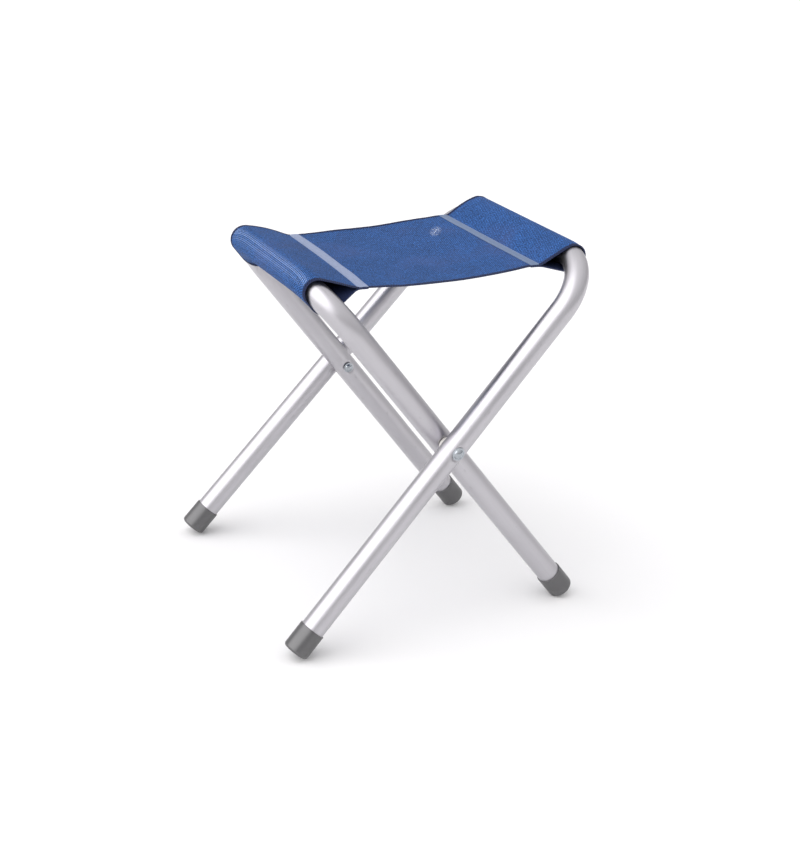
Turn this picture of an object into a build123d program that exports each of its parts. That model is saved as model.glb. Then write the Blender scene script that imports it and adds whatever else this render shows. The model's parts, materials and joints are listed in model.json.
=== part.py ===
from build123d import *
import os
from math import acos, atan2, cos, radians, sin, sqrt
from typing import NamedTuple

# Folding camp stool: two crossed U-frames of round aluminium tube, riveted together where their
# legs cross, with a cloth seat slung between the two top rails. Millimetres, +Z up. The origin is
# on the floor, midway between the feet and under the rivets' axis. X runs from the inner frame's
# rail to the outer frame's rail, and Y runs along the rails; -Y is the front.

# ---- Driving dimensions ----
TUBE_DIAMETER = 25.0
TUBE_WALL = 1.2
LEG_LEAN = 49.6            # degrees between the legs and the floor when the stool is open
LEG_SPLAY = 1.7            # degrees that each leg leans outward inside its frame's plane
PIVOT_TO_FOOT = 254.0      # along a leg, from the rivets' axis to the end of its foot cap
PIVOT_TO_OUTER_RAIL = 231.0
PIVOT_TO_INNER_RAIL = 211.0
OUTER_PIVOT_WIDTH = 280.0  # between the leg axes of the outer frame, at the rivets
BEND_RADIUS = 58.0         # of the tube's axis in the two top corners

TUBE_GAP = 0.7             # between the two tubes' crowns where they cross
FIXED_GAP = 0.05           # round a piece that is held still
RUNNING_GAP = 0.3          # between pieces that turn against each other
CLOTH_GAP = 0.45           # between the cloth and the tube inside it
SEAT_RECESS = 1.5          # depth of the flats pressed into the tube under the washers

RIVET_RADIUS = 2.5
RIVET_RUNNING_GAP = 0.06
HEAD_RADIUS = 5.2
HEAD_HEIGHT = 2.6
TAIL_RADIUS = 4.1
TAIL_HEIGHT = 1.9
HEAD_WASHER_RADIUS = 6.8
HEAD_WASHER_THICKNESS = 1.0
TAIL_WASHER_RADIUS = 5.6
TAIL_WASHER_THICKNESS = 0.8
SPACER_RADIUS = 8.0

CAP_WALL = 1.15
CAP_LENGTH = 28.5
CAP_FLOOR = 4.0
CAP_TIP_RADIUS = 3.0
CAP_RIM_CHAMFER = 0.4

OUTER_CLOTH_WIDTH = 190.0  # along the outer rail; the cloth narrows towards the inner rail
INNER_CLOTH_WIDTH = 177.0
CLOTH_THICKNESS = 1.0
OUTER_SEAM_INSET = 46.0    # from the outer rail's axis to the middle of its seam
INNER_SEAM_INSET = 52.0
OUTER_SEAM_DROP = 7.0      # of the seam below the outer rail's axis
INNER_SEAM_DROP = 2.0
SEAT_SAG = 4.5             # of the seat's middle below the line between the seams
TAPE_WIDTH = 12.0
TAPE_THICKNESS = 0.4
STITCH_LENGTH = 2.6
STITCH_PITCH = 3.6
STITCH_WIDTH = 0.5
STITCH_HEIGHT = 0.3
STITCH_ROW_INSET = 1.8     # of each row of stitches from the tape's edge

# ---- Worked out from them ----
TUBE_RADIUS = TUBE_DIAMETER / 2
INNER_PIVOT_WIDTH = OUTER_PIVOT_WIDTH - 2 * (TUBE_DIAMETER + TUBE_GAP)
CAP_RADIUS = TUBE_RADIUS + FIXED_GAP + CAP_WALL
LEAN = radians(LEG_LEAN)
SPLAY = radians(LEG_SPLAY)

# A cap touches the floor with the rounded edge of its tip, so the rivets' axis is this high.
LEG_RISE = sin(LEAN) * cos(SPLAY)
PIVOT_HEIGHT = (
    (PIVOT_TO_FOOT - CAP_TIP_RADIUS) * LEG_RISE
    + (CAP_RADIUS - CAP_TIP_RADIUS) * sqrt(1 - LEG_RISE**2)
    + CAP_TIP_RADIUS
)
FRONT, BACK = -1, 1        # the -Y or the +Y side
ENDS = {"front": FRONT, "back": BACK}


class Frame(NamedTuple):
    """One U-frame and the half of the seat on its rail."""

    side: int              # 1 if the rail is on the +X side, -1 if it is on the -X side
    pivot_width: float     # between the leg axes, at the rivets
    rail_distance: float   # from the rivets' axis to the rail's axis
    seam_inset: float
    seam_drop: float
    cloth_width: float     # along the rail


OUTER = Frame(
    1, OUTER_PIVOT_WIDTH, PIVOT_TO_OUTER_RAIL, OUTER_SEAM_INSET, OUTER_SEAM_DROP, OUTER_CLOTH_WIDTH
)
INNER = Frame(
    -1, INNER_PIVOT_WIDTH, PIVOT_TO_INNER_RAIL, INNER_SEAM_INSET, INNER_SEAM_DROP, INNER_CLOTH_WIDTH
)
FRAMES = {"outer": OUTER, "inner": INNER}


# ---- Tube frames ----
def frame_plane(frame):
    """A U-frame's own plane: x runs across the stool, y runs up the legs from the rivets' axis."""
    up_the_legs = Vector(frame.side * cos(LEAN), 0, sin(LEAN))
    return Plane((0, 0, PIVOT_HEIGHT), x_dir=(0, 1, 0), z_dir=Vector(0, 1, 0).cross(up_the_legs))


def leg_point(frame, end, down):
    """A point on a leg's axis in its frame's plane, at a distance down the leg from the rivets."""
    return (end * (frame.pivot_width / 2 + down * sin(SPLAY)), -down * cos(SPLAY))


def frame_path(frame):
    """The axis of a U-frame: up one leg, round two bends and down the other leg."""
    tube_end = PIVOT_TO_FOOT - CAP_FLOOR
    corner = frame.rail_distance / cos(SPLAY)
    points = [
        leg_point(frame, FRONT, tube_end),
        leg_point(frame, FRONT, -corner),
        leg_point(frame, BACK, -corner),
        leg_point(frame, BACK, tube_end),
    ]
    return frame_plane(frame) * FilletPolyline(*points, radius=BEND_RADIUS)


def bar_along(path, radius):
    """A round bar of the given radius along a path."""
    return sweep(Plane(path @ 0, z_dir=path % 0) * Circle(radius), path=path)


def disc(y_start, y_end, radius):
    """A round disc about the rivets' axis, between two places along Y."""
    plane = Plane((0, y_start, PIVOT_HEIGHT), z_dir=(0, 1 if y_end > y_start else -1, 0))
    return plane * extrude(Circle(radius), amount=abs(y_end - y_start))


def pressed_seats(frame, faces, grow):
    """What the press takes off the crowns of both legs, as discs that reach outside the tube."""
    clear_of_tube = 5.0
    cuts = []
    for end in ENDS.values():
        for outward, radius in faces:
            axis_y = end * frame.pivot_width / 2
            seat_y = axis_y + end * outward * (TUBE_RADIUS - SEAT_RECESS - grow)
            past_crown_y = axis_y + end * outward * (TUBE_RADIUS + clear_of_tube)
            cuts.append(disc(seat_y, past_crown_y, radius + grow))
    return cuts


def frame_tube(frame, faces, hole_radius):
    """One bent tube, with flats pressed into both legs at the rivets and a hole through each."""
    path = frame_path(frame)
    outside = bar_along(path, TUBE_RADIUS) - pressed_seats(frame, faces, 0)
    bore = bar_along(path, TUBE_RADIUS - TUBE_WALL) - pressed_seats(frame, faces, TUBE_WALL)
    reach = frame.pivot_width / 2 + TUBE_DIAMETER
    return outside - bore - disc(-reach, reach, hole_radius)


# ---- Rivets and washers, listed from the head on the outside to the tail on the inside ----
HEAD_SEAT = OUTER_PIVOT_WIDTH / 2 + TUBE_RADIUS - SEAT_RECESS
OUTER_MATING_SEAT = OUTER_PIVOT_WIDTH / 2 - TUBE_RADIUS + SEAT_RECESS
INNER_MATING_SEAT = INNER_PIVOT_WIDTH / 2 + TUBE_RADIUS - SEAT_RECESS
TAIL_SEAT = INNER_PIVOT_WIDTH / 2 - TUBE_RADIUS + SEAT_RECESS
HEAD_WASHER_TOP = HEAD_SEAT + HEAD_WASHER_THICKNESS
TAIL_WASHER_TOP = TAIL_SEAT - RUNNING_GAP
TAIL_WASHER_BOTTOM = TAIL_WASHER_TOP - TAIL_WASHER_THICKNESS


def dome(base_radius, height):
    """A solid spherical cap standing on its flat face at z = 0."""
    sphere_radius = (base_radius**2 + height**2) / (2 * height)
    ball = Pos(0, 0, height - sphere_radius) * Sphere(sphere_radius)
    return ball & Pos(0, 0, height / 2) * Cylinder(base_radius, height)


def rivet(end):
    """One rivet right through both tubes: domed head outside, shank, peened tail inside."""
    head_plane = Plane((0, end * HEAD_WASHER_TOP, PIVOT_HEIGHT), z_dir=(0, end, 0))
    tail_plane = Plane((0, end * TAIL_WASHER_BOTTOM, PIVOT_HEIGHT), z_dir=(0, -end, 0))
    shank = disc(end * TAIL_WASHER_BOTTOM, end * HEAD_WASHER_TOP, RIVET_RADIUS)
    head = head_plane * dome(HEAD_RADIUS, HEAD_HEIGHT)
    return shank + head + tail_plane * dome(TAIL_RADIUS, TAIL_HEIGHT)


def washer(end, near_y, far_y, radius):
    """A flat ring on a rivet's shank, between two distances from the stool's middle."""
    bore = disc(end * near_y, end * far_y, RIVET_RADIUS + FIXED_GAP)
    return disc(end * near_y, end * far_y, radius) - bore


# ---- Foot caps ----
def foot_cap(frame, end):
    """A moulded cup on a leg's end, with a rounded tip and the tube pushed down to its floor."""
    plane = frame_plane(frame)
    tip = plane.from_local_coords(Vector(*leg_point(frame, end, PIVOT_TO_FOOT)))
    pivot = plane.from_local_coords(Vector(*leg_point(frame, end, 0)))
    body = Pos(0, 0, CAP_LENGTH / 2) * Cylinder(CAP_RADIUS, CAP_LENGTH)
    body = fillet(body.edges().sort_by(Axis.Z)[0], CAP_TIP_RADIUS)
    body = chamfer(body.edges().sort_by(Axis.Z)[-1], CAP_RIM_CHAMFER)
    socket_depth = CAP_LENGTH - CAP_FLOOR
    socket = Pos(0, 0, CAP_FLOOR + socket_depth / 2) * Cylinder(TUBE_RADIUS + FIXED_GAP, socket_depth)
    return Plane(tip, z_dir=pivot - tip) * (body - socket)


# ---- Cloth seat ----
# Each half of the cloth is drawn beside its rail: x is the distance from the rail's axis towards
# the seat's middle and y is the height above the rail's axis.
def rail_axis(frame):
    """Where a rail's axis stands, as X and Z."""
    rise = PIVOT_HEIGHT + frame.rail_distance * sin(LEAN)
    return frame.side * frame.rail_distance * cos(LEAN), rise


def seam_place(frame):
    """Where the middle of a seam lies, as X and Z."""
    rail_x, rail_z = rail_axis(frame)
    return rail_x - frame.side * frame.seam_inset, rail_z - frame.seam_drop


def seat_middle():
    """Where the two halves of the cloth meet, as X and Z of the cloth's underside."""
    (outer_x, outer_z), (inner_x, inner_z) = seam_place(OUTER), seam_place(INNER)
    return (outer_x + inner_x) / 2, (outer_z + inner_z) / 2 - SEAT_SAG


def cloth_half_width(x):
    """Half of the cloth's width at a place along X."""
    outer_x, inner_x = rail_axis(OUTER)[0], rail_axis(INNER)[0]
    share = (x - inner_x) / (outer_x - inner_x)
    return (INNER.cloth_width + share * (OUTER.cloth_width - INNER.cloth_width)) / 2


def cut_to_width(cloth):
    """Cloth or tape between the seat's slanting front and back edges."""
    past_rail = 2 * TUBE_DIAMETER
    inner_x = rail_axis(INNER)[0] - past_rail
    outer_x = rail_axis(OUTER)[0] + past_rail
    corners = [(x, end * cloth_half_width(x)) for x, end in ((inner_x, 1), (outer_x, 1))]
    corners += [(x, -y) for x, y in reversed(corners)]
    return cloth & extrude(make_face(Polyline(*corners, close=True)), amount=2 * PIVOT_HEIGHT)


def cloth_plane(frame):
    """The drawing plane of one half of the cloth, at its rail's axis."""
    rail_x, rail_z = rail_axis(frame)
    return Plane((rail_x, 0, rail_z), x_dir=(-frame.side, 0, 0), z_dir=(0, frame.side, 0))


def touch_angle(radius, point, turn):
    """The angle at which a line from the point touches a circle round the rail's axis."""
    distance = sqrt(point[0] ** 2 + point[1] ** 2)
    return atan2(point[1], point[0]) + turn * acos(radius / distance)


def teardrop(radius, upper, lower):
    """The outline of cloth round a rail: an arc, and a straight run to each of the seam's points."""
    top = touch_angle(radius, upper, 1)
    bottom = touch_angle(radius, lower, -1)
    top_touch = (radius * cos(top), radius * sin(top))
    bottom_touch = (radius * cos(bottom), radius * sin(bottom))
    outline = Line(upper, top_touch) + ThreePointArc(top_touch, (-radius, 0), bottom_touch)
    outline += Line(bottom_touch, lower)
    if upper != lower:
        outline += Line(lower, upper)
    return make_face(outline)


def seat_cloth(frame):
    """Half of the seat: a pocket round the rail, a seam of two layers and one layer beyond it."""
    inside = TUBE_RADIUS + RUNNING_GAP
    drop = frame.seam_drop
    seam_start = frame.seam_inset - TAPE_WIDTH / 2
    seam_end = frame.seam_inset + TAPE_WIDTH / 2
    middle_x, middle_z = seat_middle()
    rail_x, rail_z = rail_axis(frame)
    middle = abs(rail_x - middle_x) - RUNNING_GAP / 2
    sag = middle_z - rail_z

    upper = (seam_start, CLOTH_THICKNESS - drop)
    lower = (seam_start, -CLOTH_THICKNESS - drop)
    pocket = teardrop(inside + CLOTH_THICKNESS, upper, lower)
    pocket -= teardrop(inside, (seam_start, -drop), (seam_start, -drop))
    seam = Pos(frame.seam_inset, -drop) * Rectangle(TAPE_WIDTH, 2 * CLOTH_THICKNESS)
    panel = make_face(
        Polyline(
            (seam_end, -drop),
            (middle, sag),
            (middle, sag + CLOTH_THICKNESS),
            (seam_end, CLOTH_THICKNESS - drop),
            close=True,
        )
    )
    profile = cloth_plane(frame) * (pocket + seam + panel)
    cloth = cut_to_width(extrude(profile, amount=OUTER_CLOTH_WIDTH, both=True))
    return cloth - bar_along(frame_path(frame), TUBE_RADIUS + CLOTH_GAP)


def seam_tape(frame):
    """The flat tape sewn along the top of a seam."""
    top = CLOTH_THICKNESS - frame.seam_drop
    place = Pos(frame.seam_inset, top + TAPE_THICKNESS / 2)
    strip = cloth_plane(frame) * place * Rectangle(TAPE_WIDTH, TAPE_THICKNESS)
    return cut_to_width(extrude(strip, amount=OUTER_CLOTH_WIDTH, both=True))


def seam_thread(frame):
    """The stitches that show on top of a tape, in one row along each of its edges."""
    stitch = Box(STITCH_WIDTH, STITCH_HEIGHT, STITCH_LENGTH)
    stitch = fillet(stitch.edges().filter_by(Axis.Z).sort_by(Axis.Y)[-2:], STITCH_HEIGHT / 2)
    top = CLOTH_THICKNESS - frame.seam_drop + TAPE_THICKNESS + STITCH_HEIGHT / 2
    row_offset = TAPE_WIDTH / 2 - STITCH_ROW_INSET
    row_length = 2 * cloth_half_width(seam_place(frame)[0] - row_offset)
    count = int((row_length - STITCH_LENGTH) / STITCH_PITCH)
    stitches = []
    for row in (-row_offset, row_offset):
        for step in range(count):
            along = (step - (count - 1) / 2) * STITCH_PITCH
            stitches.append(Pos(frame.seam_inset + row, top, along) * stitch)
    return cloth_plane(frame) * Compound(children=stitches)


# ---- The whole stool ----
def build_parts():
    """Every piece of the stool by its name."""
    rivet_hole = RIVET_RADIUS + FIXED_GAP
    turning_hole = RIVET_RADIUS + RIVET_RUNNING_GAP
    seat_margin = 0.4
    spacer_seat = SPACER_RADIUS + seat_margin
    outer_faces = [(1, HEAD_WASHER_RADIUS + seat_margin), (-1, spacer_seat)]
    inner_faces = [(1, spacer_seat), (-1, TAIL_WASHER_RADIUS + seat_margin)]
    parts = {
        "outer_frame_tube": frame_tube(OUTER, outer_faces, rivet_hole),
        "inner_frame_tube": frame_tube(INNER, inner_faces, turning_hole),
    }
    for where, end in ENDS.items():
        parts[f"{where}_rivet"] = rivet(end)
        parts[f"{where}_head_washer"] = washer(end, HEAD_SEAT, HEAD_WASHER_TOP, HEAD_WASHER_RADIUS)
        spacer_face = INNER_MATING_SEAT + RUNNING_GAP
        parts[f"{where}_spacer"] = washer(end, spacer_face, OUTER_MATING_SEAT, SPACER_RADIUS)
        parts[f"{where}_tail_washer"] = washer(
            end, TAIL_WASHER_BOTTOM, TAIL_WASHER_TOP, TAIL_WASHER_RADIUS
        )
        for name, frame in FRAMES.items():
            parts[f"{name}_{where}_foot_cap"] = foot_cap(frame, end)
    for name, frame in FRAMES.items():
        parts[f"{name}_seat_cloth"] = seat_cloth(frame)
        parts[f"{name}_seam_tape"] = seam_tape(frame)
        parts[f"{name}_seam_thread"] = seam_thread(frame)
    return parts


def main():
    os.makedirs("parts", exist_ok=True)
    for name, part in build_parts().items():
        export_step(part, f"parts/{name}.step")


main()
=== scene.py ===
import json
from math import atan2, ceil, cos, hypot, pi, radians, sin, sqrt, tan

import bpy
import numpy as np
from mathutils import Matrix, Vector, noise


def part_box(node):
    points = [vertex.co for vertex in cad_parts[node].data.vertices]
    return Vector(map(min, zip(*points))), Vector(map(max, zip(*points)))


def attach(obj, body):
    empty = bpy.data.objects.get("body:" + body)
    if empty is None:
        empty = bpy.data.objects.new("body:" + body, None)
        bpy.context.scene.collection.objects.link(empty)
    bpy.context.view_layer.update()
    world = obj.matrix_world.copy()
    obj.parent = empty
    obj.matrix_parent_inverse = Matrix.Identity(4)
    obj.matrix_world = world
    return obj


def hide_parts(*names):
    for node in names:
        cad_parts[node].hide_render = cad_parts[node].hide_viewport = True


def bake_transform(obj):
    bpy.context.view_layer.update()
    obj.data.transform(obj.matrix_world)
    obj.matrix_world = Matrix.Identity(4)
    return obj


# Folding camp stool: the cloth seat with its stitching, and the tubes, caps and rivets, as fine meshes
# with their materials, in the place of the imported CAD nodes. Metres, +Z up; -Y is the front, as in the CAD.

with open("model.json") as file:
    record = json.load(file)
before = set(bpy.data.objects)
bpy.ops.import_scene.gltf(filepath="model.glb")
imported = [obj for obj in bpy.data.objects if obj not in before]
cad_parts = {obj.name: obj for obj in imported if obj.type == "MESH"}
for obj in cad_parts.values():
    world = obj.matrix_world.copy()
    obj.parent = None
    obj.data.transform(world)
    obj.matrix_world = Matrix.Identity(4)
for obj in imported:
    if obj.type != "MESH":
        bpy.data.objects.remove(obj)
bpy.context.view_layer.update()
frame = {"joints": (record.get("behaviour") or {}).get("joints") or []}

MM = 0.001

# ---- Read from the frame ----
JOINTS = {joint["name"]: joint for joint in frame["joints"]}
PIVOT = Vector(JOINTS["fold"]["pos_m"])
RAILS = {name: Vector(JOINTS[f"{name}_seat_drop"]["pos_m"]) for name in ("outer", "inner")}
SIDES = {"outer": 1, "inner": -1}          # the rail is on the +X or the -X side
ENDS = {"front": -1, "back": 1}            # the -Y or the +Y side
LEAN = atan2(RAILS["outer"].z - PIVOT.z, RAILS["outer"].x)
TUBE_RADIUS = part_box("outer_frame_tube")[1].z - RAILS["outer"].z
TAPES = {name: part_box(f"{name}_seam_tape") for name in RAILS}
SEAT_MIDDLE_X = (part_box("outer_seat_cloth")[0].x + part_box("inner_seat_cloth")[1].x) / 2

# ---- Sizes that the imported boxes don't give ----
LEG_SPLAY = radians(1.7)
BEND_RADIUS = 58 * MM                      # of the tube's axis in the top corners
BEND_CUT = BEND_RADIUS * tan((pi / 2 - LEG_SPLAY) / 2)  # from a bend's sharp corner to where it starts
PIVOT_HALF_WIDTH = {"outer": 140.0 * MM, "inner": 114.3 * MM}
PIVOT_TO_TUBE_END = 250 * MM
PIVOT_TO_CAP_TIP = 254 * MM
TUBE_WALL = 1.2 * MM
SEAT_RECESS = 1.5 * MM                     # depth of the flats pressed into the tubes
PRESS_EDGE = 2.5 * MM                      # width of the soft edge round a flat
HOLE_RADIUS = 2.55 * MM
FIXED_GAP = 0.05 * MM
CAP_WALL = 1.15 * MM
CAP_LENGTH = 28.5 * MM
CAP_FLOOR = 4.0 * MM
CAP_TIP_RADIUS = 3.0 * MM
CAP_RIM_RADIUS = 0.4 * MM
RIVET_HEAD_RADIUS = 5.2 * MM
RIVET_TAIL_RADIUS = 4.1 * MM
RIVET_SHANK_RADIUS = 2.5 * MM
CLOTH_THICKNESS = 0.9 * MM
EDGE_THICKNESS = 1.5 * MM                  # of the cloth's heat-cut front and back edges
EDGE_SHARE = 0.97                          # where those edges begin, as a share of the half width
CLOTH_CLEARANCE = 0.35 * MM                # between the tube and the cloth's inside
LAP_DEPTH = 1.6 * CLOTH_THICKNESS          # from the seam's top to the middle of its lower layer
SEAT_SAG = {"front": 4.8 * MM, "middle": 5.4 * MM, "back": 2.2 * MM}
BACK_OVERHANG = {"outer": 7.0 * MM, "inner": 4.0 * MM}  # of the cloth past its CAD solid's back edge
BACK_BOW = 5.0 * MM                        # of that edge between the rails, away from the seat's middle
FRONT_DRAWN_IN = 0.7                       # how closely the pockets' front ends follow the bends
POCKET_BULGE = {"outer": 2.8 * MM, "inner": 2.0 * MM}  # of a pocket's top layer, at its back end

# How far a seam lies from its CAD place, towards the seat's middle: at its front end, middle and back end.
SEAM_SHIFTS = {
    "outer": (-1.3 * MM, -0.5 * MM, -1.0 * MM),
    "inner": (-1.5 * MM, 4.5 * MM, 7.0 * MM),
}

# The radii of the flats on a tube's outward and inward crown at the rivets.
FLATS = {
    "outer": ((1, 7.2 * MM), (-1, 8.4 * MM)),
    "inner": ((1, 8.4 * MM), (-1, 6.0 * MM)),
}


# ---- Meshes ----
def add_object(name, vertices, faces, uvs=None, corner_uvs=None, smooth_angle=40):
    """A mesh object, smooth up to an angle, with UVs for its points or for its faces' corners."""
    mesh = bpy.data.meshes.new(name)
    mesh.from_pydata([tuple(v) for v in vertices], [], faces)
    if uvs is not None:
        corners = np.zeros(len(mesh.loops), np.int32)
        mesh.loops.foreach_get("vertex_index", corners)
        corner_uvs = np.asarray(uvs, np.float32)[corners]
    if corner_uvs is not None:
        layer = mesh.uv_layers.new(name="UVMap")
        layer.data.foreach_set("uv", np.asarray(corner_uvs, np.float32).ravel())
    mesh.polygons.foreach_set("use_smooth", [True] * len(mesh.polygons))
    mesh.set_sharp_from_angle(angle=radians(smooth_angle))
    mesh.update()
    obj = bpy.data.objects.new(name, mesh)
    bpy.context.scene.collection.objects.link(obj)
    return obj


def grid_faces(rows, columns, closed=False, ring=False):
    """Quads between neighbouring rows of points; closed joins the rows' ends, ring the first and last row."""
    faces = []
    for row in range(rows if ring else rows - 1):
        here, above = row * columns, (row + 1) % rows * columns
        for column in range(columns if closed else columns - 1):
            following = (column + 1) % columns
            faces.append((here + column, here + following, above + following, above + column))
    return faces


def thicken(obj, thickness, back_material=0, thick_group="", smooth_angle=50):
    """Gives a sheet its thickness, half on each side, with a material for its edge and one for its back.

    With a thick_group, only that group has the whole thickness, and the rest has the cloth's."""
    solidify = obj.modifiers.new("Thickness", "SOLIDIFY")
    solidify.thickness = thickness
    solidify.offset = 0
    if thick_group:
        solidify.vertex_group = thick_group
        solidify.thickness_vertex_group = CLOTH_THICKNESS / thickness
    solidify.use_even_offset = True
    solidify.material_offset_rim = 1
    solidify.material_offset = back_material
    depsgraph = bpy.context.evaluated_depsgraph_get()
    solid = bpy.data.meshes.new_from_object(obj.evaluated_get(depsgraph))
    obj.modifiers.clear()
    obj.data = solid
    solid.polygons.foreach_set("use_smooth", [True] * len(solid.polygons))
    solid.set_sharp_from_angle(angle=radians(smooth_angle))
    return obj


def turned(name, profile, base, axis, ring=False, steps=96, smooth_angle=35):
    """A turned shape: a profile of (radius, height) points round an axis, joined up if it is a ring."""
    to_axis = Vector(axis).to_track_quat("Z", "Y").to_matrix()
    vertices, rows = [], []
    for radius, height in profile:
        count = steps if radius > 1e-7 else 1
        rows.append((len(vertices), count))
        for step in range(count):
            angle = 2 * pi * step / steps
            point = Vector((radius * cos(angle), radius * sin(angle), height))
            vertices.append(Vector(base) + to_axis @ point)
    faces = []
    following_rows = rows[1:] + (rows[:1] if ring else [])
    for (low, low_count), (high, high_count) in zip(rows, following_rows):
        for step in range(steps):
            following = (step + 1) % steps
            corners = [
                low + step % low_count,
                low + following % low_count,
                high + following % high_count,
                high + step % high_count,
            ]
            faces.append(tuple(dict.fromkeys(corners)))
    return add_object(name, vertices, faces, smooth_angle=smooth_angle)


def rounded(centre_radius, centre_height, size, start, end, points=7):
    """Points of a rounded edge in a profile, between two angles in degrees."""
    angles = np.radians(np.linspace(start, end, points))
    return [(centre_radius + size * cos(a), centre_height + size * sin(a)) for a in angles]


def dome(base_radius, base_height, rise, points=14):
    """Points of a domed head in a profile, from its edge to its top."""
    sphere = (base_radius**2 + rise**2) / (2 * abs(rise))
    edge = np.arcsin(base_radius / sphere)
    heights = [(sphere * sin(a), abs(rise) - sphere * (1 - cos(a))) for a in np.linspace(edge, 0, points)]
    return [(radius, base_height + np.sign(rise) * height) for radius, height in heights]


# ---- Tubes, caps and rivets ----
def in_frame(name, across, up):
    """A point of a U-frame's own plane, measured from the rivets' axis, in the stool's frame."""
    return PIVOT + Vector((SIDES[name] * up * cos(LEAN), across, up * sin(LEAN)))


def frame_normal(name):
    """The direction square to a U-frame's plane."""
    return Vector((-sin(LEAN), 0, SIDES[name] * cos(LEAN)))


def bend_start(name):
    """How far along Y, from the middle, the rail is straight."""
    up_the_leg = (RAILS[name] - PIVOT).length
    corner = PIVOT_HALF_WIDTH[name] - up_the_leg * tan(LEG_SPLAY)
    return corner - BEND_CUT


def half_tube_rows(name):
    """The tube's axis from a foot to the middle of its rail: points and outward directions in its plane."""
    rail = (RAILS[name] - PIVOT).length
    half_width = PIVOT_HALF_WIDTH[name]
    outward = (cos(LEG_SPLAY), sin(LEG_SPLAY))
    straight = bend_start(name)
    leg_end = rail / cos(LEG_SPLAY) - BEND_CUT
    near_rivet, leg_step, rivet_step = 13 * MM, 16 * MM, 0.8 * MM
    ups = [*np.arange(-PIVOT_TO_TUBE_END, -near_rivet, leg_step)]
    ups += [*np.arange(-near_rivet, near_rivet, rivet_step)]
    ups += [*np.linspace(near_rivet, leg_end, 12)]
    rows = [(half_width - up * sin(LEG_SPLAY), up * cos(LEG_SPLAY), *outward) for up in ups]
    for angle in np.linspace(LEG_SPLAY, pi / 2, 36)[1:]:
        across = straight + BEND_RADIUS * cos(angle)
        rows.append((across, rail - BEND_RADIUS * (1 - sin(angle)), cos(angle), sin(angle)))
    for share in np.linspace(0, 1, 6)[1:]:
        rows.append((straight * (1 - share), rail, 0.0, 1.0))
    return rows


def pressed(name, point, wall):
    """A tube's point after the press has made the flats at the rivets."""
    reach = hypot(point.x - PIVOT.x, point.z - PIVOT.z)
    end = 1 if point.y > 0 else -1
    offset = end * point.y - PIVOT_HALF_WIDTH[name]
    for outward, seat in FLATS[name]:
        if reach < seat + PRESS_EDGE:
            share = max(0.0, (reach - seat) / PRESS_EDGE)
            limit = TUBE_RADIUS - wall - SEAT_RECESS + 2 * SEAT_RECESS * share**2
            offset = outward * min(outward * offset, limit)
    return Vector((point.x, end * (PIVOT_HALF_WIDTH[name] + offset), point.z))


def tube_mesh(name):
    """One bent tube with its bore, its pressed flats and its rivet holes."""
    sides = 80
    half = half_tube_rows(name)
    rows = half + [(-across, up, -out, rise) for across, up, out, rise in reversed(half[:-1])]
    normal = frame_normal(name)
    centres = [in_frame(name, across, up) for across, up, _, _ in rows]
    outwards = [in_frame(name, out, rise) - PIVOT for _, _, out, rise in rows]
    runs = np.concatenate(([0], np.cumsum([(b - a).length for a, b in zip(centres, centres[1:])])))
    vertices, row_runs = [], []
    for wall, order in ((0.0, range(len(rows))), (TUBE_WALL, reversed(range(len(rows))))):
        for row in order:
            row_runs.append(runs[row])
            for side in range(sides):
                angle = 2 * pi * side / sides
                arm = outwards[row] * cos(angle) + normal * sin(angle)
                vertices.append(pressed(name, centres[row] + arm * (TUBE_RADIUS - wall), wall))
    faces = grid_faces(len(row_runs), sides, closed=True, ring=True)
    around = 2 * pi * TUBE_RADIUS / sides
    corner_uvs = []
    for row in range(len(row_runs)):
        here, above = row_runs[row], row_runs[(row + 1) % len(row_runs)]
        for side in range(sides):
            low, high = side * around, (side + 1) * around
            corner_uvs += [(here, low), (here, high), (above, high), (above, low)]
    tube = add_object(f"{name}_tube", vertices, faces, corner_uvs=corner_uvs, smooth_angle=50)
    reach = PIVOT_HALF_WIDTH[name] + 2 * TUBE_RADIUS
    drill_profile = [(0.0, -reach), (HOLE_RADIUS, -reach), (HOLE_RADIUS, reach), (0.0, reach)]
    return drilled(tube, turned("drill", drill_profile, PIVOT, (0, 1, 0), steps=32))


def drilled(obj, drill):
    """Cuts another object out of this one and removes that object."""
    hole = obj.modifiers.new("Hole", "BOOLEAN")
    hole.operation = "DIFFERENCE"
    hole.solver = "EXACT"
    hole.object = drill
    depsgraph = bpy.context.evaluated_depsgraph_get()
    cut_mesh = bpy.data.meshes.new_from_object(obj.evaluated_get(depsgraph))
    obj.modifiers.clear()
    obj.data = cut_mesh
    bpy.data.objects.remove(drill)
    return obj


def cap_mesh(name, end):
    """A moulded cap on a leg's end: rounded tip, slightly rounded rim, and the socket for the tube."""
    socket = TUBE_RADIUS + FIXED_GAP
    radius = socket + CAP_WALL
    rim = CAP_RIM_RADIUS
    tip_middle = 5.0 * MM
    profile = [(0.0, 0.0), (tip_middle, 0.0)]
    profile += rounded(radius - CAP_TIP_RADIUS, CAP_TIP_RADIUS, CAP_TIP_RADIUS, -90, 0, 12)
    profile += [(radius, share * CAP_LENGTH) for share in (0.3, 0.5, 0.7, 0.85)]
    profile += rounded(radius - rim, CAP_LENGTH - rim, rim, 0, 90)
    profile += [(socket, CAP_LENGTH), (socket, CAP_LENGTH - rim), (socket, CAP_FLOOR), (0.0, CAP_FLOOR)]
    across = PIVOT_HALF_WIDTH[name] + PIVOT_TO_CAP_TIP * sin(LEG_SPLAY)
    tip = in_frame(name, ENDS[end] * across, -PIVOT_TO_CAP_TIP * cos(LEG_SPLAY))
    top = in_frame(name, ENDS[end] * PIVOT_HALF_WIDTH[name], 0)
    return turned(f"{name}_{end}_cap", profile, tip, top - tip, smooth_angle=30)


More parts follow.
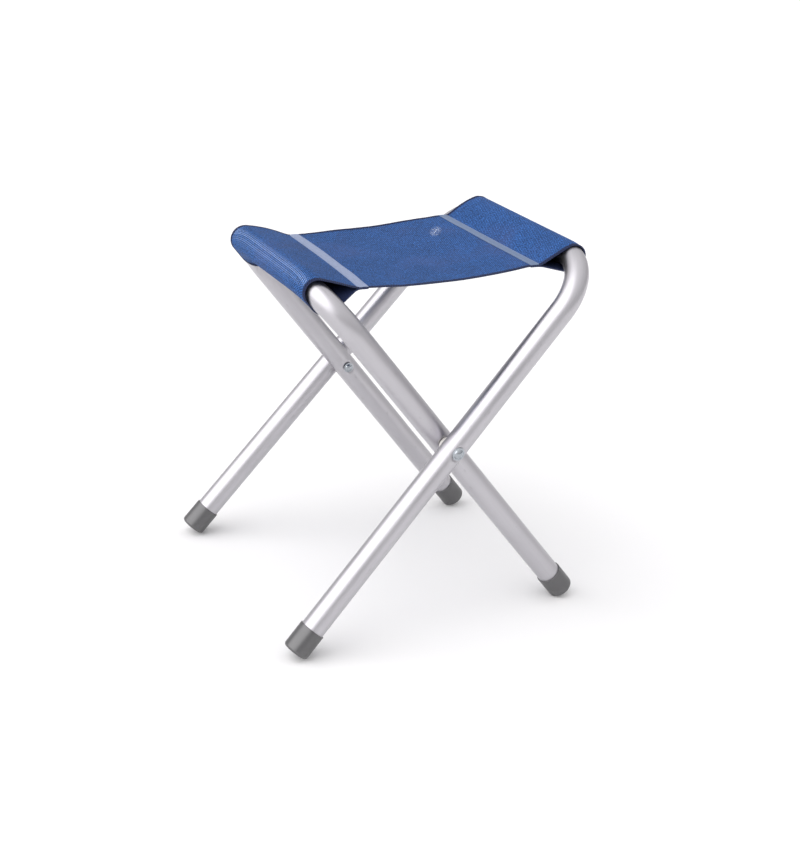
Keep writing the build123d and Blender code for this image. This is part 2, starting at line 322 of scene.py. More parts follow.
def distances_out(node, end):
    """How far a node's near and far face are from the stool's middle, along Y."""
    return sorted(ENDS[end] * corner.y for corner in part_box(node))


def rivet_mesh(end):
    """One rivet: peened tail inside, shank, and domed head outside."""
    tail_tip, head_tip = distances_out(f"{end}_rivet", end)
    tail_base = distances_out(f"{end}_tail_washer", end)[0]
    head_base = distances_out(f"{end}_head_washer", end)[1]
    profile = list(reversed(dome(RIVET_TAIL_RADIUS, tail_base, tail_tip - tail_base)))
    profile += [(RIVET_SHANK_RADIUS, tail_base), (RIVET_SHANK_RADIUS, head_base)]
    profile += dome(RIVET_HEAD_RADIUS, head_base, head_tip - head_base)
    axis = (0, ENDS[end], 0)
    return turned(f"{end}_rivet_mesh", profile, (PIVOT.x, 0, PIVOT.z), axis, smooth_angle=40)


def ring_mesh(node, end):
    """A washer or spacer with softened edges, in the place of its node."""
    near, far = distances_out(node, end)
    low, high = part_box(node)
    radius = (high.z - low.z) / 2
    edge = min(0.25 * MM, (far - near) / 3)
    profile = rounded(radius - edge, near + edge, edge, -90, 0, 5)
    profile += rounded(radius - edge, far - edge, edge, 0, 90, 5)
    profile += [(HOLE_RADIUS, far), (HOLE_RADIUS, near)]
    axis = (0, ENDS[end], 0)
    return turned(f"{node}_mesh", profile, (PIVOT.x, 0, PIVOT.z), axis, ring=True)


# ---- Cloth seat ----
# Each half is drawn beside its rail: `inward` runs from the rail's axis towards the seat's middle
# and `up` is the height above the rail's axis. `share` says where a section lies across the cloth's
# width, from -1 at its front edge to 1 at its back edge.
TOWARDS_PIVOT = np.array((cos(LEAN), -sin(LEAN)))
ACROSS_FRAME = np.array((sin(LEAN), cos(LEAN)))
STEP = 2.0 * MM
LOOP_POINTS = 80
PANEL_POINTS = 48
UNDER_POINTS = 7
CLOTH_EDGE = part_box("outer_seat_cloth")[1].y      # the cloth's nominal half width, used for its UVs


def to_frame(name, inward, y, up):
    """A point of a half's drawing in the stool's own frame."""
    return Vector((RAILS[name].x - SIDES[name] * inward, y, RAILS[name].z + up))


def cloth_half_width(x):
    """Half of the cloth's width at a place along X: the seam tapes' ends lie on its slanting edges."""
    outer, inner = TAPES["outer"][1], TAPES["inner"][1]
    return inner.y + (x - inner.x) * (outer.y - inner.y) / (outer.x - inner.x)


def half_width_at(name, inward, share=0.0):
    """How far the cloth reaches from its middle, at a distance from a rail towards the seat's middle."""
    x = RAILS[name].x - SIDES[name] * inward
    if share <= 0:
        return cloth_half_width(x)
    crossed = (x - RAILS["inner"].x) / (RAILS["outer"].x - RAILS["inner"].x)
    inner, outer = BACK_OVERHANG["inner"], BACK_OVERHANG["outer"]
    bow = 4 * BACK_BOW * max(0.0, crossed * (1 - crossed))
    return cloth_half_width(x) + inner + crossed * (outer - inner) + bow


def seam_shift(name, share):
    """How far one section's seam lies from its CAD place, towards the seat's middle."""
    front, middle, back = SEAM_SHIFTS[name]
    return middle + (back - front) / 2 * share + ((front + back) / 2 - middle) * share**2


def seam_facts(name, share=0.0):
    """Where a seam lies in one section: its start and end inward, and the cloth's top in height."""
    low, high = TAPES[name]
    rail = RAILS[name]
    edges = sorted(abs(rail.x - x) for x in (low.x, high.x))
    shift = seam_shift(name, share)
    return edges[0] + shift, edges[1] + shift, low.z - rail.z


def rail_section(past_bend, radius, points=160):
    """The outline of the rail, bend included, cut across at a distance past the bend's start."""
    if past_bend <= 0:
        angles = np.linspace(0, 2 * pi, 2 * points, endpoint=False)
        return radius * np.stack((np.cos(angles), np.sin(angles)), 1)
    outermost = BEND_RADIUS - sqrt((BEND_RADIUS + radius) ** 2 - past_bend**2)
    inside = max(0.0, (BEND_RADIUS - radius) ** 2 - past_bend**2)
    innermost = BEND_RADIUS - sqrt(inside)
    spread = (1 - np.cos(np.linspace(0, pi, points))) / 2
    along = outermost + (innermost - outermost) * spread
    off_axis = np.hypot(BEND_RADIUS - along, past_bend) - BEND_RADIUS
    half = np.sqrt(np.maximum(0, radius**2 - off_axis**2))
    upper = np.outer(along, TOWARDS_PIVOT) + np.outer(half, ACROSS_FRAME)
    lower = np.outer(along, TOWARDS_PIVOT) - np.outer(half, ACROSS_FRAME)
    return np.concatenate((upper, lower))


def hull(points):
    """The convex outline of points in a plane, counter-clockwise."""
    ordered = sorted(map(tuple, points))

    def chain(run):
        kept = []
        for p in run:
            while len(kept) > 1:
                (ax, ay), (bx, by) = kept[-2], kept[-1]
                if (bx - ax) * (p[1] - ay) - (by - ay) * (p[0] - ax) > 0:
                    break
                kept.pop()
            kept.append(p)
        return kept[:-1]

    return chain(ordered) + chain(reversed(ordered))


def run_along(line):
    """How far along a line each of its points is."""
    return np.concatenate(([0], np.cumsum(np.linalg.norm(np.diff(line, axis=0), axis=1))))


def resampled(line, count):
    """The same line with its points spaced evenly along it."""
    line = np.asarray(line, float)
    run = run_along(line)
    wanted = np.linspace(0, run[-1], count)
    return np.stack([np.interp(wanted, run, line[:, k]) for k in range(line.shape[1])], 1)


def seat_sag(share):
    """How deep one section of the seat sags: the cloth's back edge is the tightest."""
    edge = SEAT_SAG["back" if share > 0 else "front"]
    return SEAT_SAG["middle"] + (edge - SEAT_SAG["middle"]) * share**4


def pocket_loop(name, share, count):
    """The cloth round the rail in one section, from the seam's top layer to its lower one."""
    start, _, top = seam_facts(name, share)
    upper_layer = (start, top - CLOTH_THICKNESS / 2)
    lower_layer = (start, top - LAP_DEPTH)
    radius = TUBE_RADIUS + CLOTH_CLEARANCE + CLOTH_THICKNESS / 2
    past_bend = max(0.0, abs(share) * half_width_at(name, 0, share) - bend_start(name))
    drawn_in = FRONT_DRAWN_IN * past_bend if share < 0 else 0.0
    sections = rail_section(drawn_in, radius), rail_section(past_bend, radius)
    loop = hull([*sections[0], *sections[1], upper_layer, lower_layer])
    first = min(range(len(loop)), key=lambda k: np.hypot(*(np.subtract(loop[k], upper_layer))))
    loop = loop[first:] + loop[:first]
    return resampled(loop, count)


def panel_line(name, share, count):
    """The single layer from the seat's middle to the seam's inner edge, and on to its outer one."""
    start, end, top = seam_facts(name, share)
    middle = abs(RAILS[name].x - SEAT_MIDDLE_X)
    sag = seat_sag(share)
    outer_end = RAILS["outer"].x - seam_facts("outer", share)[1]
    inner_end = RAILS["inner"].x + seam_facts("inner", share)[1]
    heights = [RAILS[side].z + seam_facts(side)[2] - CLOTH_THICKNESS / 2 for side in ("outer", "inner")]
    line = []
    for inward in np.linspace(middle, end, count):
        x = RAILS[name].x - SIDES[name] * inward
        crossed = (outer_end - x) / (outer_end - inner_end)
        chord = heights[0] + (heights[1] - heights[0]) * crossed
        height = chord - 4 * sag * crossed * (1 - crossed)
        line.append((inward, height - RAILS[name].z))
    for inward in np.linspace(end, start, ceil((end - start) / STEP) + 1)[1:]:
        line.append((inward, top - CLOTH_THICKNESS / 2))
    return np.array(line)


def softened(line, first, last, passes):
    """Rounds the creases of a line between two of its points, and keeps the rest."""
    line = line.copy()
    for _ in range(passes):
        between = (line[first - 1 : last - 1] + line[first + 1 : last + 1]) / 2
        line[first:last] = 0.5 * line[first:last] + 0.5 * between
    return line


def cloth_line(name, share):
    """One section of a half of the seat, from the middle, over the rail and back under the seam."""
    start, end, top = seam_facts(name, share)
    panel = panel_line(name, share, PANEL_POINTS)
    loop = pocket_loop(name, share, LOOP_POINTS)
    under = [(inward, top - LAP_DEPTH) for inward in np.linspace(start, end, UNDER_POINTS)]
    line = np.concatenate((panel[:-1], loop, under[1:]))
    seam = len(panel) - 1
    # The cloth bends softly at the seam's inner edge, at its outer edge and at the lap's start.
    line = softened(line, PANEL_POINTS - 4, PANEL_POINTS + 1, 6)
    line = softened(line, seam - 1, seam + 10, 10)
    return softened(line, len(line) - UNDER_POINTS - 5, len(line) - UNDER_POINTS + 2, 4)


def bulge(name, share, inward, index):
    """How far a pocket's top layer stands up between the rail and the seam."""
    start = seam_facts(name, share)[0]
    on_top = PANEL_POINTS <= index < PANEL_POINTS + LOOP_POINTS / 2
    if not on_top or not 0 < inward < start:
        return 0.0
    front_fullness = 0.25
    fullness = front_fullness + (1 - front_fullness) * (1 + share) / 2
    return POCKET_BULGE[name] * fullness * sin(pi * inward / start)


def ripple(point):
    """The slow unevenness of cloth under tension, in metres."""
    broad = noise.noise(Vector(point) * 22 + Vector((3.1, 0.7, 1.9)))
    fine = noise.noise(Vector((point[0] * 60, point[1] * 45, point[2] * 60)))
    return 0.6 * MM * broad + 0.2 * MM * fine


def cloth_shares():
    """Places across the cloth's width for its sections, closer together near its cut edges."""
    even = np.linspace(-1, 1, 2 * round(CLOTH_EDGE / STEP) + 1)
    return 0.8 * even + 0.2 * np.sin(even * pi / 2)


def fray(name, run, share):
    """How far the yarn ends stand in or out along a cut edge."""
    near_edge = max(0.0, abs(share) - EDGE_SHARE) / (1 - EDGE_SHARE)
    return 0.3 * MM * near_edge * noise.noise(Vector((run * 420, SIDES[name] * 3.0, np.sign(share))))


def on_outer_face(inward, up):
    """How far a point is on the rail's outer face, where the cloth bends: 1 at its middle, 0 off it."""
    if inward >= 0:
        return 0.0
    face_middle, face_reach = radians(40), radians(42)
    off_middle = (atan2(up, -inward) - face_middle) / face_reach
    return max(0.0, 1 - off_middle**2)


def flat_facts(name):
    """The width and length that a half of the cloth was cut to, and its area."""
    line = cloth_line(name, 0.0)
    run = run_along(line)
    ends = [[half_width_at(name, inward, share) for inward, _ in line] for share in (-1, 1)]
    widths = np.add(*ends)
    area = np.sum(np.diff(run) * (widths[1:] + widths[:-1]) / 2)
    return (float(max(widths)), float(run[-1])), float(area)


def seat_half(name):
    """Half of the seat: one sheet from the middle, over the seam, round the rail and back."""
    vertices, uvs, outer_face = [], [], []
    shares = cloth_shares()
    run = run_along(cloth_line(name, 0.0))
    for share in shares:
        for k, (inward, up) in enumerate(cloth_line(name, share)):
            half_width = half_width_at(name, inward, share) + fray(name, run[k], share)
            point = to_frame(name, inward, share * half_width, up + bulge(name, share, inward, k))
            free = min(1.0, max(0.0, (PANEL_POINTS - k) / 8))  # the seam and the rail hold the cloth still
            vertices.append(point + Vector((0, 0, ripple(point) * free)))
            uvs.append((SIDES[name] * run[k], share * CLOTH_EDGE))
            outer_face.append(on_outer_face(inward, up))
    faces = grid_faces(len(shares), len(run))
    if SIDES[name] < 0:
        faces = [tuple(reversed(face)) for face in faces]
    sheet = add_object(f"{name}_seat_sheet", vertices, faces, uvs)
    hem = sheet.vertex_groups.new(name="hem")
    for row, share in enumerate(shares):
        weight = float(np.clip((abs(share) - EDGE_SHARE) / 0.02, 0, 1))
        hem.add(list(range(row * len(run), (row + 1) * len(run))), weight, "REPLACE")
    # The share of the rail's outer face at each point: the mask for the painted glints on the yarns there.
    glint_mask = sheet.data.attributes.new("outer_face", "FLOAT", "POINT")
    glint_mask.data.foreach_set("value", outer_face)
    return sheet


# ---- Seam tapes and stitches ----
def seam_tape(name):
    """The flat tape along a seam, a little uneven and soft at its edges."""
    thickness = TAPES[name][1].z - TAPES[name][0].z
    shares = cloth_shares()
    columns, largest_sway, crown_height = 9, 1.0 * MM, 0.1 * MM
    vertices, uvs = [], []
    for share in shares:
        start, end, top = seam_facts(name, share)
        for across in np.linspace(0, 1, columns):
            sway = largest_sway * noise.noise(Vector((share * 2.6, SIDES[name] * 5.0, across * 0.7)))
            inward = start + across * (end - start) + sway
            y = share * half_width_at(name, inward, share)
            crown = crown_height * sin(pi * across)
            vertices.append(to_frame(name, inward, y, top + thickness / 2 + crown))
            uvs.append((inward, y))
    obj = add_object(f"{name}_tape", vertices, grid_faces(len(shares), columns), uvs)
    return thicken(obj, thickness)


def stitch_path(length, height):
    """A stitch's path from one needle hole to the next, as (along, above) points."""
    return [(length * (share - 0.5), height * sin(pi * share)) for share in np.linspace(0, 1, 9)]


def seam_thread(name):
    """Both rows of stitches along a tape, on its top and on the seam's underside."""
    pitch, length, thread, rise, buried = 3.6 * MM, 3.1 * MM, 0.24 * MM, 0.30 * MM, 0.12 * MM
    inset, sides = 1.8 * MM, 8
    row_length = 2 * half_width_at(name, seam_facts(name)[0])
    count = int((row_length - length) / pitch)
    path = stitch_path(length, rise)
    vertices, faces = [], []
    for from_start in (True, False):
        for outward in (1, -1):
            for step in range(count):
                centre = (step - (count - 1) / 2) * pitch
                start, end, top = seam_facts(name, 2 * centre / row_length)
                inward = start + inset if from_start else end - inset
                underside = top - LAP_DEPTH - CLOTH_THICKNESS / 2
                surface = TAPES[name][1].z - RAILS[name].z if outward == 1 else underside
                base = len(vertices)
                for k, (along, above) in enumerate(path):
                    taper = thread * (0.55 + 0.45 * sin(pi * k / (len(path) - 1)))
                    height = surface + outward * (above - buried)
                    for side in range(sides):
                        angle = 2 * pi * side / sides
                        arm = taper * cos(angle), taper * sin(angle)
                        vertices.append(to_frame(name, inward + arm[0], centre + along, height + arm[1]))
                run = grid_faces(len(path), sides, closed=True)
                run.append(tuple(reversed(range(sides))))
                run.append(tuple((len(path) - 1) * sides + side for side in range(sides)))
                faces += [tuple(base + corner for corner in face) for face in run]
    return add_object(f"{name}_stitches", vertices, faces, smooth_angle=60)


# ---- Materials ----
def material(name, **sockets):
    """A new material and its shader, with constants set on the shader's own sockets."""
    made = bpy.data.materials.new(name)
    made.use_nodes = True
    shader = made.node_tree.nodes["Principled BSDF"]
    for socket, value in sockets.items():
        shader.inputs[socket.replace("_", " ")].default_value = value
    return made, made.node_tree, shader


def node(tree, kind, inputs=None, **settings):
    """A node with its settings. Each input, by its name or number, is a value or another node's output."""
    made = tree.nodes.new(kind)
    for setting, value in settings.items():
        setattr(made, setting, value)
    for socket, value in (inputs or {}).items():
        if isinstance(value, bpy.types.NodeSocket):
            tree.links.new(value, made.inputs[socket])
        else:
            made.inputs[socket].default_value = value
    return made


def maths(tree, operation, *values):
    """The output of one Math node."""
    return node(tree, "ShaderNodeMath", dict(enumerate(values)), operation=operation).outputs[0]


def mix_colour(tree, share, first, second):
    """One colour over another by a share."""
    inputs = {"Factor": share, 6: first, 7: second}
    return node(tree, "ShaderNodeMix", inputs, data_type="RGBA").outputs[2]


def remap(tree, value, low, high, to_low=0.0, to_high=1.0):
    """A value moved from one range to another and kept inside it."""
    inputs = {0: value, 1: low, 2: high, 3: to_low, 4: to_high}
    return node(tree, "ShaderNodeMapRange", inputs).outputs[0]


def noise_at(tree, vector, scale, detail=2.0, stretch=(1, 1, 1)):
    """Noise at a vector, stretched along its axes."""
    mapped = node(tree, "ShaderNodeMapping", {"Vector": vector, "Scale": stretch}).outputs[0]
    inputs = {"Vector": mapped, "Scale": scale, "Detail": detail}
    return node(tree, "ShaderNodeTexNoise", inputs).outputs[0]


def cloth_coordinates(tree):
    """The cloth's own measure: metres along its length and across its width."""
    uv = node(tree, "ShaderNodeUVMap", uv_map="UVMap").outputs[0]
    split = node(tree, "ShaderNodeSeparateXYZ", {0: uv})
    return uv, split.outputs[0], split.outputs[1]


def wave(tree, value, pitch):
    """A wave from 0 to 1 with one crest in each pitch."""
    turned_by = maths(tree, "MULTIPLY", value, 2 * pi / pitch)
    return maths(tree, "MULTIPLY_ADD", maths(tree, "COSINE", turned_by), 0.5, 0.5)


def scaled(tree, colour, shade):
    """A colour made lighter or darker by a number."""
    inputs = {0: colour, "Scale": shade}
    return node(tree, "ShaderNodeVectorMath", inputs, operation="SCALE").outputs[0]


def bumped(tree, shader, height, strength, distance):
    """Gives a shader the relief of a height."""
    bump = node(tree, "ShaderNodeBump", {"Height": height, "Strength": strength, "Distance": distance})
    tree.links.new(bump.outputs[0], shader.inputs["Normal"])


def weave_crowns(tree, along, across, yarn):
    """Plain weave as a height from 0 to 1: crowns on a chequerboard, one yarn over and one under."""
    over = maths(tree, "MULTIPLY", wave(tree, along, 2 * yarn), wave(tree, across, 2 * yarn))
    half_along, half_across = maths(tree, "ADD", along, yarn), maths(tree, "ADD", across, yarn)
    under = maths(tree, "MULTIPLY", wave(tree, half_along, 2 * yarn), wave(tree, half_across, 2 * yarn))
    return maths(tree, "ADD", over, under)


def painted_bend_glints(tree, along, across):
    """Painted glints: thin light lines along the yarns parallel to the rails, only where the cloth bends
    round a rail's outer face.
    """
    pitch = 1.75 * MM
    line = maths(tree, "POWER", wave(tree, along, pitch), 4.0)
    number = maths(tree, "FLOOR", maths(tree, "DIVIDE", along, pitch))
    strength = node(tree, "ShaderNodeTexWhiteNoise", {"W": number}, noise_dimensions="1D").outputs[0]
    dashes = wave(tree, across, 2.9 * MM)
    dashed = remap(tree, dashes, 0.1, 0.6, 0.25, 1.0)
    # The painted glints are kept to the rail's outer face, where the cloth bends.
    bend = node(tree, "ShaderNodeAttribute", attribute_name="outer_face").outputs["Fac"]
    amount = maths(tree, "MULTIPLY", line, remap(tree, strength, 0.35, 1.0, 0.25, 1.0))
    return maths(tree, "MULTIPLY", maths(tree, "MULTIPLY", amount, dashed), bend)


def scuff(tree, uv):
    """A small pale scuff on the seat near the outer seam, as broken scratches."""
    centre, direction = (62 * MM, 53 * MM, 0), (0, 0, radians(-52))
    moved = node(tree, "ShaderNodeVectorMath", {0: uv, 1: centre}, operation="SUBTRACT").outputs[0]
    turned_uv = node(tree, "ShaderNodeMapping", {"Vector": moved, "Rotation": direction}).outputs[0]
    narrowed = {0: turned_uv, 1: (1.0, 2.6, 1)}
    oval = node(tree, "ShaderNodeVectorMath", narrowed, operation="MULTIPLY").outputs[0]
    distance = node(tree, "ShaderNodeVectorMath", {0: oval}, operation="LENGTH").outputs["Value"]
    inside = remap(tree, distance, 2 * MM, 18 * MM, 1.0, 0.0)
    scratches = noise_at(tree, turned_uv, 1.0, 3.0, (260, 900, 1))
    return maths(tree, "MULTIPLY", inside, remap(tree, scratches, 0.49, 0.62, 0.0, 0.95))


def woven_cloth():
    """Blue polyester weave: crowned yarns coloured lighter on their crowns and darker between them as painted
    highlight and shade, streaks along both yarns, painted glints as light lines where the cloth bends round a
    rail, and a darker band along its front and back edges.
    """
    constants = {"Roughness": 0.72, "Specular_IOR_Level": 0.15, "Sheen_Weight": 0.02, "Sheen_Roughness": 0.5}
    made, tree, shader = material("woven_cloth", **constants)
    uv, along, across = cloth_coordinates(tree)
    crown = weave_crowns(tree, along, across, 1.35 * MM)
    warp = noise_at(tree, uv, 1.0, 2.0, (90, 560, 1))
    weft = noise_at(tree, uv, 1.0, 2.0, (560, 90, 1))
    grain = noise_at(tree, uv, 620.0, 2.0)
    cloud = noise_at(tree, uv, 24.0, 3.0)
    # Painted highlight and shade: the yarn crowns are coloured lighter and the gaps between them darker.
    yarns = mix_colour(tree, crown, (0.001, 0.008, 0.045, 1), (0.036, 0.130, 0.390, 1))
    warp_shade = remap(tree, warp, 0.35, 0.65, 0.82, 1.14)
    weft_shade = remap(tree, weft, 0.35, 0.65, -0.1, 0.1)
    shade = maths(tree, "ADD", warp_shade, weft_shade)
    shade = maths(tree, "MULTIPLY", shade, remap(tree, grain, 0.3, 0.7, 0.3, 1.7))
    coloured = scaled(tree, yarns, maths(tree, "MULTIPLY", shade, remap(tree, cloud, 0.3, 0.7, 0.9, 1.1)))
    dusty = noise_at(tree, uv, 15.0, 2.0)
    coloured = mix_colour(tree, remap(tree, dusty, 0.5, 0.75, 0.0, 0.2), coloured, (0.085, 0.085, 0.19, 1))
    # Painted glints: light yarn lines where the cloth bends round a rail.
    coloured = mix_colour(tree, painted_bend_glints(tree, along, across), coloured, (0.52, 0.66, 0.95, 1))
    coloured = mix_colour(tree, scuff(tree, uv), coloured, (0.62, 0.68, 0.80, 1))
    # A darker, dashed band along the cloth's front and back edges.
    to_edge = maths(tree, "SUBTRACT", CLOTH_EDGE, maths(tree, "ABSOLUTE", across))
    dashed_edge_band = mix_colour(tree, wave(tree, along, 2.8 * MM), (0.003, 0.005, 0.022, 1), (0.012, 0.026, 0.090, 1))
    final = mix_colour(tree, remap(tree, to_edge, 3.0 * MM, 3.9 * MM, 1.0, 0.0), coloured, dashed_edge_band)
    tree.links.new(final, shader.inputs["Base Color"])
    bumped(tree, shader, crown, 0.85, 0.4 * MM)
    return made


def cut_edge():
    """The heat-cut edge of the cloth: dark, with the ends of the yarns showing."""
    made, tree, shader = material("cut_edge", Roughness=0.7)
    _, along, _ = cloth_coordinates(tree)
    ends = wave(tree, along, 2.4 * MM)
    colour = mix_colour(tree, ends, (0.004, 0.006, 0.02, 1), (0.014, 0.03, 0.11, 1))
    tree.links.new(colour, shader.inputs["Base Color"])
    return made


def shaded_cloth_back():
    """The cloth's back, inside the pockets and under the seat: coloured near-black as painted shade, with a
    faint weave.
    """
    made, tree, shader = material("shaded_cloth_back", Roughness=0.75, Specular_IOR_Level=0.2)
    uv, along, across = cloth_coordinates(tree)
    crown = weave_crowns(tree, along, across, 1.2 * MM)
    cloud = noise_at(tree, uv, 30.0, 3.0)
    # Painted shade: the back is near-black for the shade inside the pockets and under the seat.
    weave = mix_colour(tree, crown, (0.010, 0.015, 0.042, 1), (0.022, 0.036, 0.105, 1))
    colour = scaled(tree, weave, remap(tree, cloud, 0.3, 0.7, 0.85, 1.15))
    tree.links.new(colour, shader.inputs["Base Color"])
    bumped(tree, shader, crown, 0.4, 0.3 * MM)
    return made


def tape_cloth(name, valley, crest):
    """Narrow light tape with a fine cross rib."""
    made, tree, shader = material(name, Roughness=0.6, Sheen_Weight=0.15)
    uv, _, across = cloth_coordinates(tree)
    rib = wave(tree, across, 1.1 * MM)
    cloud = noise_at(tree, uv, 1.0, 3.0, (500, 160, 1))
    ribs = mix_colour(tree, rib, valley, crest)
    tree.links.new(scaled(tree, ribs, remap(tree, cloud, 0.3, 0.7, 0.88, 1.12)), shader.inputs["Base Color"])
    bumped(tree, shader, rib, 0.4, 0.2 * MM)
    return made


def thread_yarn():
    """Twisted polyester thread."""
    made, tree, shader = material("thread_yarn", Roughness=0.5)
    position = node(tree, "ShaderNodeTexCoord").outputs["Object"]
    twist = noise_at(tree, position, 2600.0, 1.0)
    colour = mix_colour(tree, twist, (0.13, 0.18, 0.33, 1), (0.24, 0.31, 0.48, 1))
    tree.links.new(colour, shader.inputs["Base Color"])
    return made


def anodised_aluminium():
    """Satin anodised tube: fine drawn lines along it, faint clouding and a few handling marks."""
    made, tree, shader = material("anodised_aluminium", Metallic=1.0)
    uv = node(tree, "ShaderNodeUVMap", uv_map="UVMap").outputs[0]
    position = node(tree, "ShaderNodeTexCoord").outputs["Object"]
    drawn = noise_at(tree, uv, 1.0, 3.0, (12, 1500, 1))
    cloud = noise_at(tree, position, 18.0, 3.0)
    speckle = noise_at(tree, position, 700.0, 2.0)
    marks = noise_at(tree, uv, 1.0, 4.0, (70, 160, 1))
    colour = mix_colour(tree, cloud, (0.475, 0.465, 0.49, 1), (0.545, 0.535, 0.56, 1))
    colour = scaled(tree, colour, remap(tree, drawn, 0.3, 0.7, 0.97, 1.03))
    colour = scaled(tree, colour, remap(tree, marks, 0.66, 0.76, 1.0, 0.86))
    tree.links.new(colour, shader.inputs["Base Color"])
    drawn_rough = remap(tree, drawn, 0.3, 0.7, -0.03, 0.03)
    rough = maths(tree, "ADD", remap(tree, cloud, 0.3, 0.7, 0.34, 0.40), drawn_rough)
    tree.links.new(rough, shader.inputs["Roughness"])
    relief = maths(tree, "ADD", maths(tree, "MULTIPLY", drawn, 0.5), speckle)
    bumped(tree, shader, relief, 0.08, 0.02 * MM)
    return made


def cap_plastic():
    """Moulded grey plastic: fine grain, paler on its sharp rim, and scuffs and dust near the tip."""
    made, tree, shader = material("cap_plastic", Specular_IOR_Level=1.0, IOR=1.66)
    position = node(tree, "ShaderNodeTexCoord").outputs["Object"]
    grain = noise_at(tree, position, 1500.0, 2.0)
    cloud = noise_at(tree, position, 60.0, 3.0)
    scuffs = noise_at(tree, position, 320.0, 4.0)
    height = node(tree, "ShaderNodeSeparateXYZ", {0: position}).outputs[2]
    colour = mix_colour(tree, cloud, (0.020, 0.0195, 0.022, 1), (0.030, 0.029, 0.032, 1))
    low = remap(tree, height, 2 * MM, 16 * MM, 1.0, 0.0)
    dust = maths(tree, "MULTIPLY", low, remap(tree, scuffs, 0.45, 0.7, 0.0, 0.55))
    colour = mix_colour(tree, dust, colour, (0.13, 0.127, 0.125, 1))
    # Paler on sharp edges, such as the rim.
    edge = node(tree, "ShaderNodeNewGeometry").outputs["Pointiness"]
    colour = mix_colour(tree, remap(tree, edge, 0.53, 0.60, 0.0, 0.5), colour, (0.27, 0.27, 0.28, 1))
    tree.links.new(colour, shader.inputs["Base Color"])
    tree.links.new(remap(tree, cloud, 0.3, 0.7, 0.33, 0.42), shader.inputs["Roughness"])
    bumped(tree, shader, grain, 0.15, 0.08 * MM)
    return made


def plated_steel():
    """Bright zinc-plated steel with faint scratches."""
    made, tree, shader = material("plated_steel", Metallic=1.0)
    position = node(tree, "ShaderNodeTexCoord").outputs["Object"]
    cloud = noise_at(tree, position, 420.0, 3.0)
    colour = mix_colour(tree, cloud, (0.30, 0.33, 0.36, 1), (0.50, 0.53, 0.56, 1))
    tree.links.new(colour, shader.inputs["Base Color"])
    tree.links.new(remap(tree, cloud, 0.3, 0.7, 0.12, 0.28), shader.inputs["Roughness"])
    return made


def nylon():
    """Natural nylon of the spacers."""
    made, tree, shader = material("nylon", Roughness=0.45)
    position = node(tree, "ShaderNodeTexCoord").outputs["Object"]
    cloud = noise_at(tree, position, 200.0, 2.0)
    colour = mix_colour(tree, cloud, (0.52, 0.51, 0.49, 1), (0.62, 0.61, 0.58, 1))
    tree.links.new(colour, shader.inputs["Base Color"])
    return made


def floor_paint():
    """The pale studio floor."""
    made, tree, shader = material("floor_paint", Roughness=0.9, Specular_IOR_Level=0.1)
    position = node(tree, "ShaderNodeTexCoord").outputs["Object"]
    cloud = noise_at(tree, position, 2.0, 2.0)
    colour = mix_colour(tree, cloud, (0.80, 0.80, 0.80, 1), (0.82, 0.82, 0.82, 1))
    tree.links.new(colour, shader.inputs["Base Color"])
    return made


# ---- Putting the pieces together ----
def dress(piece, finish, node_name, body):
    """Gives a rigid piece its material and its body, and hides the CAD node that it stands for."""
    piece.data.materials.clear()
    piece.data.materials.append(finish)
    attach(piece, body)
    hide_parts(node_name)


def dress_frames():
    """Tubes, caps, rivets, washers and spacers as fine meshes."""
    aluminium, plastic, steel, spacer = anodised_aluminium(), cap_plastic(), plated_steel(), nylon()
    for name in SIDES:
        dress(tube_mesh(name), aluminium, f"{name}_frame_tube", f"{name}_frame")
        for end in ENDS:
            dress(cap_mesh(name, end), plastic, f"{name}_{end}_foot_cap", f"{name}_frame")
    for end in ENDS:
        dress(rivet_mesh(end), steel, f"{end}_rivet", "outer_frame")
        for kind in ("head_washer", "tail_washer"):
            dress(ring_mesh(f"{end}_{kind}", end), steel, f"{end}_{kind}", "outer_frame")
        dress(ring_mesh(f"{end}_spacer", end), spacer, f"{end}_spacer", "outer_frame")


def dress_seat():
    """Both halves of the seat, with their tapes and stitches on the halves' bodies."""
    cloth, edge, back, thread = woven_cloth(), cut_edge(), shaded_cloth_back(), thread_yarn()
    # Painted light: the inner tape is a lighter copy of the outer tape's material, for the light that its
    # seam catches.
    tapes = {
        "outer": tape_cloth("tape_cloth", (0.060, 0.105, 0.20, 1), (0.100, 0.160, 0.285, 1)),
        "inner": tape_cloth("lit_tape_cloth", (0.150, 0.195, 0.32, 1), (0.235, 0.285, 0.43, 1)),
    }
    for name in SIDES:
        half_body = f"{name}_seat_half"
        sheet = seat_half(name)
        flat_size, area = flat_facts(name)
        for finish in (cloth, edge, back):
            sheet.data.materials.append(finish)
        thicken(sheet, EDGE_THICKNESS, back_material=2, thick_group="hem")
        tape, stitches = seam_tape(name), seam_thread(name)
        dress(tape, tapes[name], f"{name}_seam_tape", half_body)
        dress(stitches, thread, f"{name}_seam_thread", half_body)
        to_frame(name, seam_facts(name)[0], 0, 0)
        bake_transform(sheet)
        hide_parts(f"{name}_seat_cloth")


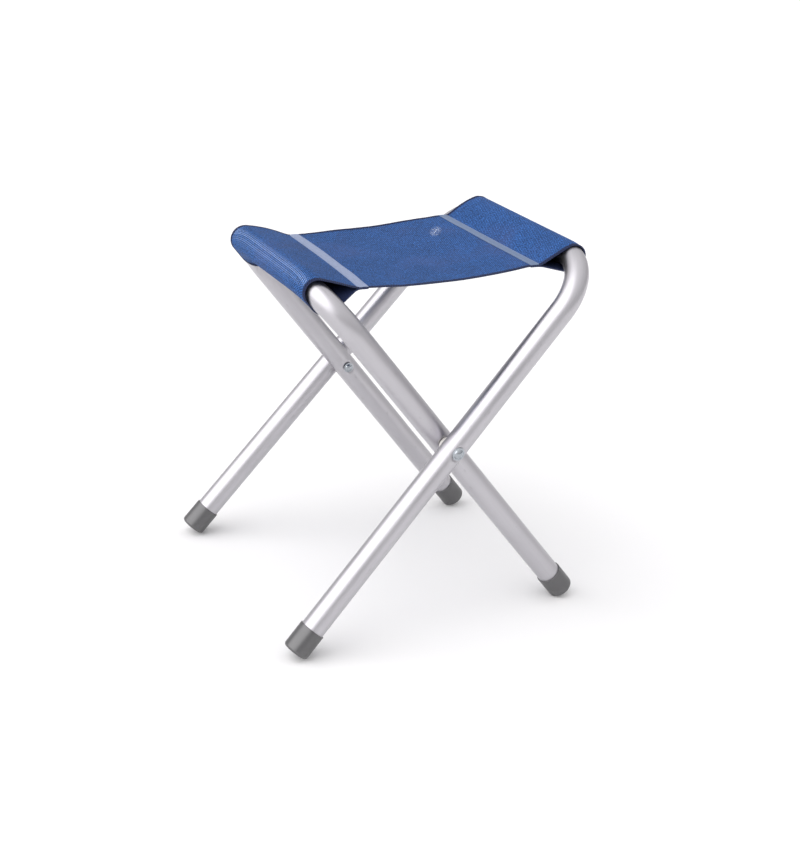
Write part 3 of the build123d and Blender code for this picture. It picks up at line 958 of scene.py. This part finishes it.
# ---- Studio ----
def surround():
    """A plain pale surround, brighter overhead, with one broad soft light from the upper left."""
    world = bpy.data.worlds.new("surround")
    bpy.context.scene.world = world
    world.use_nodes = True
    tree = world.node_tree
    direction = node(tree, "ShaderNodeTexCoord").outputs["Generated"]
    towards_light = Vector((-0.80, -0.10, 0.60)).normalized()
    light_rim, light_core, light_strength = 0.64, 0.80, 1.72
    facing = node(tree, "ShaderNodeVectorMath", {0: direction, 1: towards_light}, operation="DOT_PRODUCT")
    key = remap(tree, facing.outputs["Value"], light_rim, light_core, 0.0, light_strength)
    height = node(tree, "ShaderNodeSeparateXYZ", {0: direction}).outputs[2]
    overhead_strength, all_round_strength = 0.55, 0.58
    overhead = remap(tree, height, 0.1, 1.0, 0.0, overhead_strength)
    strength = maths(tree, "ADD", maths(tree, "ADD", key, overhead), all_round_strength)
    background = tree.nodes["Background"]
    background.inputs["Color"].default_value = (1.0, 0.99, 1.0, 1)
    tree.links.new(strength, background.inputs["Strength"])


def studio():
    """A plain pale floor under the surround's light."""
    size = 60.0
    corners = [(-size, -size, 0), (size, -size, 0), (size, size, 0), (-size, size, 0)]
    floor = add_object("studio_floor", corners, [(0, 1, 2, 3)])
    floor.data.materials.append(floor_paint())
    surround()
    bpy.context.scene.view_settings.view_transform = "Standard"


def camera():
    """The viewing camera: a long lens from the front left, a little above the seat and slightly tilted."""
    azimuth, elevation, roll = radians(-28.812), radians(22.152), radians(4.508)
    distance, lens = 1.6276, 64.55
    aim_right, aim_up = 11.08 * MM, -26.77 * MM
    back = Vector((sin(azimuth) * cos(elevation), -cos(azimuth) * cos(elevation), sin(elevation)))
    level = Vector((cos(azimuth), sin(azimuth), 0))
    right = level * cos(roll) + back.cross(level) * sin(roll)
    up = back.cross(right)
    data = bpy.data.cameras.new("view")
    data.lens = lens
    data.sensor_width = 36.0
    made = bpy.data.objects.new("view", data)
    turn = Matrix((right, up, back)).transposed().to_4x4()
    made.matrix_world = Matrix.Translation(PIVOT + right * aim_right + up * aim_up + back * distance) @ turn
    bpy.context.scene.collection.objects.link(made)
    bpy.context.scene.camera = made


dress_frames()
dress_seat()
studio()
camera()
